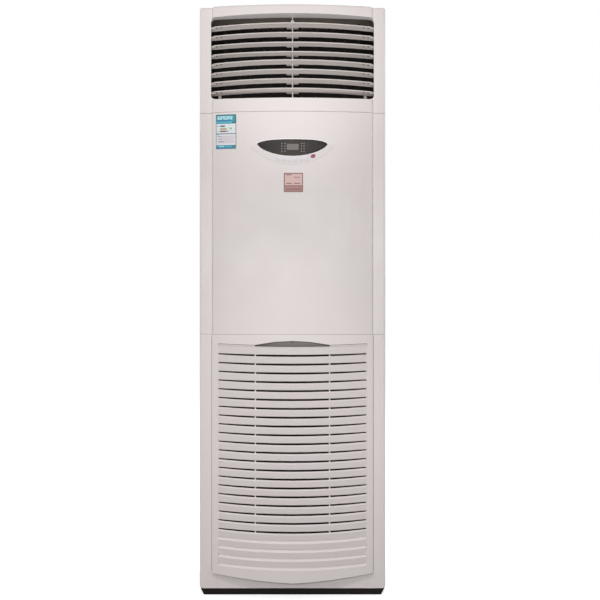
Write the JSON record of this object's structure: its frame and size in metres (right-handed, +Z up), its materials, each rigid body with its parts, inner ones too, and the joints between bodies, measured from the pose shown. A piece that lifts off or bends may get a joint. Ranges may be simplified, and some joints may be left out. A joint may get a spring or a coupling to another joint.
{
  "type": "floor standing air conditioner",
  "caption": "Tall cabinet indoor unit with an arched outlet, linked louvre blades and swing vanes, a display and a slotted intake panel.",
  "frame": {"origin": "bottom centre of the whole unit, on the floor", "axes": "+Z up, +Y from the front to the back, +X to the right seen from the front"},
  "size_m": [0.56, 0.35, 1.769],
  "materials": {
    "ivory_plastic": "satin moulded",
    "ivory_paint": "satin powder coat",
    "louvre_grey": "satin moulded",
    "duct_dark": "dull foam-lined",
    "duct_grey": "dull moulded",
    "vane_grey": "dull moulded",
    "plinth_black": "dull powder coat",
    "filter_dark": "fine mesh in a frame",
    "lens_brown": "smoked, polished",
    "bezel_white": "satin moulded",
    "key_white": "membrane",
    "power_red": "membrane"
  },
  "bodies": {
    "cabinet": {"base_plinth": "plinth_black", "outlet_frame": "ivory_plastic", "middle_panel": "ivory_plastic", "lower_post_left": "ivory_plastic", "lower_post_right": "ivory_plastic", "kick_panel": "ivory_plastic", "intake_panel": "ivory_plastic", "filter_frame": "filter_dark", "side_panel_left": "ivory_paint", "side_panel_right": "ivory_paint", "back_panel": "ivory_paint", "top_cover": "ivory_paint", "duct_ceiling": "duct_grey", "duct_floor": "duct_grey", "duct_back": "duct_dark", "duct_side_left": "duct_dark", "duct_side_right": "duct_dark", "centre_stay": "louvre_grey", "control_bezel": "bezel_white", "display_lens": "lens_brown", "keypad": "key_white", "power_button": "power_red"},
    "louvre_blade_1": {"louvre_blade_1": "louvre_grey"},
    "louvre_blade_2": {"louvre_blade_2": "louvre_grey"},
    "louvre_blade_3": {"louvre_blade_3": "louvre_grey"},
    "louvre_blade_4": {"louvre_blade_4": "louvre_grey"},
    "louvre_blade_5": {"louvre_blade_5": "louvre_grey"},
    "louvre_blade_6": {"louvre_blade_6": "louvre_grey"},
    "louvre_blade_7": {"louvre_blade_7": "louvre_grey"},
    "louvre_blade_8": {"louvre_blade_8": "louvre_grey"},
    "swing_vane_1": {"swing_vane_1": "vane_grey"},
    "swing_vane_2": {"swing_vane_2": "vane_grey"},
    "swing_vane_3": {"swing_vane_3": "vane_grey"},
    "swing_vane_4": {"swing_vane_4": "vane_grey"},
    "swing_vane_5": {"swing_vane_5": "vane_grey"},
    "swing_vane_6": {"swing_vane_6": "vane_grey"},
    "swing_vane_7": {"swing_vane_7": "vane_grey"},
    "swing_vane_8": {"swing_vane_8": "vane_grey"},
    "swing_vane_9": {"swing_vane_9": "vane_grey"},
    "swing_vane_10": {"swing_vane_10": "vane_grey"}
  },
  "joints": [
    {"name": "louvre_1_tilt", "type": "hinge", "parent": "cabinet", "child": "louvre_blade_1", "pos_m": [0, -0.1243, 1.7097], "axis": [-1, 0, 0], "range_deg": [-22, 20]},
    {"name": "louvre_2_tilt", "type": "hinge", "parent": "cabinet", "child": "louvre_blade_2", "pos_m": [0, -0.1243, 1.68174], "axis": [-1, 0, 0], "range_deg": [-22, 20]},
    {"name": "louvre_3_tilt", "type": "hinge", "parent": "cabinet", "child": "louvre_blade_3", "pos_m": [0, -0.1243, 1.65379], "axis": [-1, 0, 0], "range_deg": [-22, 20]},
    {"name": "louvre_4_tilt", "type": "hinge", "parent": "cabinet", "child": "louvre_blade_4", "pos_m": [0, -0.1243, 1.62583], "axis": [-1, 0, 0], "range_deg": [-22, 20]},
    {"name": "louvre_5_tilt", "type": "hinge", "parent": "cabinet", "child": "louvre_blade_5", "pos_m": [0, -0.1243, 1.59787], "axis": [-1, 0, 0], "range_deg": [-22, 20]},
    {"name": "louvre_6_tilt", "type": "hinge", "parent": "cabinet", "child": "louvre_blade_6", "pos_m": [0, -0.1243, 1.56991], "axis": [-1, 0, 0], "range_deg": [-22, 20]},
    {"name": "louvre_7_tilt", "type": "hinge", "parent": "cabinet", "child": "louvre_blade_7", "pos_m": [0, -0.1243, 1.54196], "axis": [-1, 0, 0], "range_deg": [-22, 20]},
    {"name": "louvre_8_tilt", "type": "hinge", "parent": "cabinet", "child": "louvre_blade_8", "pos_m": [0, -0.1243, 1.514], "axis": [-1, 0, 0], "range_deg": [-22, 20]},
    {"name": "vane_1_swing", "type": "hinge", "parent": "cabinet", "child": "swing_vane_1", "pos_m": [-0.20595, -0.0693, 1.49], "axis": [0, 0, 1], "range_deg": [-35, 35]},
    {"name": "vane_2_swing", "type": "hinge", "parent": "cabinet", "child": "swing_vane_2", "pos_m": [-0.16018, -0.0693, 1.49], "axis": [0, 0, 1], "range_deg": [-35, 35]},
    {"name": "vane_3_swing", "type": "hinge", "parent": "cabinet", "child": "swing_vane_3", "pos_m": [-0.11441, -0.0693, 1.49], "axis": [0, 0, 1], "range_deg": [-35, 35]},
    {"name": "vane_4_swing", "type": "hinge", "parent": "cabinet", "child": "swing_vane_4", "pos_m": [-0.06865, -0.0693, 1.49], "axis": [0, 0, 1], "range_deg": [-35, 35]},
    {"name": "vane_5_swing", "type": "hinge", "parent": "cabinet", "child": "swing_vane_5", "pos_m": [-0.02288, -0.0693, 1.49], "axis": [0, 0, 1], "range_deg": [-35, 35]},
    {"name": "vane_6_swing", "type": "hinge", "parent": "cabinet", "child": "swing_vane_6", "pos_m": [0.02288, -0.0693, 1.49], "axis": [0, 0, 1], "range_deg": [-35, 35]},
    {"name": "vane_7_swing", "type": "hinge", "parent": "cabinet", "child": "swing_vane_7", "pos_m": [0.06865, -0.0693, 1.49], "axis": [0, 0, 1], "range_deg": [-35, 35]},
    {"name": "vane_8_swing", "type": "hinge", "parent": "cabinet", "child": "swing_vane_8", "pos_m": [0.11441, -0.0693, 1.49], "axis": [0, 0, 1], "range_deg": [-35, 35]},
    {"name": "vane_9_swing", "type": "hinge", "parent": "cabinet", "child": "swing_vane_9", "pos_m": [0.16018, -0.0693, 1.49], "axis": [0, 0, 1], "range_deg": [-35, 35]},
    {"name": "vane_10_swing", "type": "hinge", "parent": "cabinet", "child": "swing_vane_10", "pos_m": [0.20595, -0.0693, 1.49], "axis": [0, 0, 1], "range_deg": [-35, 35]}
  ],
  "couplings": [
    {"joint": "louvre_2_tilt", "follows": "louvre_1_tilt", "ratio": 1},
    {"joint": "louvre_3_tilt", "follows": "louvre_1_tilt", "ratio": 1},
    {"joint": "louvre_4_tilt", "follows": "louvre_1_tilt", "ratio": 1},
    {"joint": "louvre_5_tilt", "follows": "louvre_1_tilt", "ratio": 1},
    {"joint": "louvre_6_tilt", "follows": "louvre_1_tilt", "ratio": 1},
    {"joint": "louvre_7_tilt", "follows": "louvre_1_tilt", "ratio": 1},
    {"joint": "louvre_8_tilt", "follows": "louvre_1_tilt", "ratio": 1},
    {"joint": "vane_2_swing", "follows": "vane_1_swing", "ratio": 1},
    {"joint": "vane_3_swing", "follows": "vane_1_swing", "ratio": 1},
    {"joint": "vane_4_swing", "follows": "vane_1_swing", "ratio": 1},
    {"joint": "vane_5_swing", "follows": "vane_1_swing", "ratio": 1},
    {"joint": "vane_6_swing", "follows": "vane_1_swing", "ratio": 1},
    {"joint": "vane_7_swing", "follows": "vane_1_swing", "ratio": 1},
    {"joint": "vane_8_swing", "follows": "vane_1_swing", "ratio": 1},
    {"joint": "vane_9_swing", "follows": "vane_1_swing", "ratio": 1},
    {"joint": "vane_10_swing", "follows": "vane_1_swing", "ratio": 1}
  ]
}
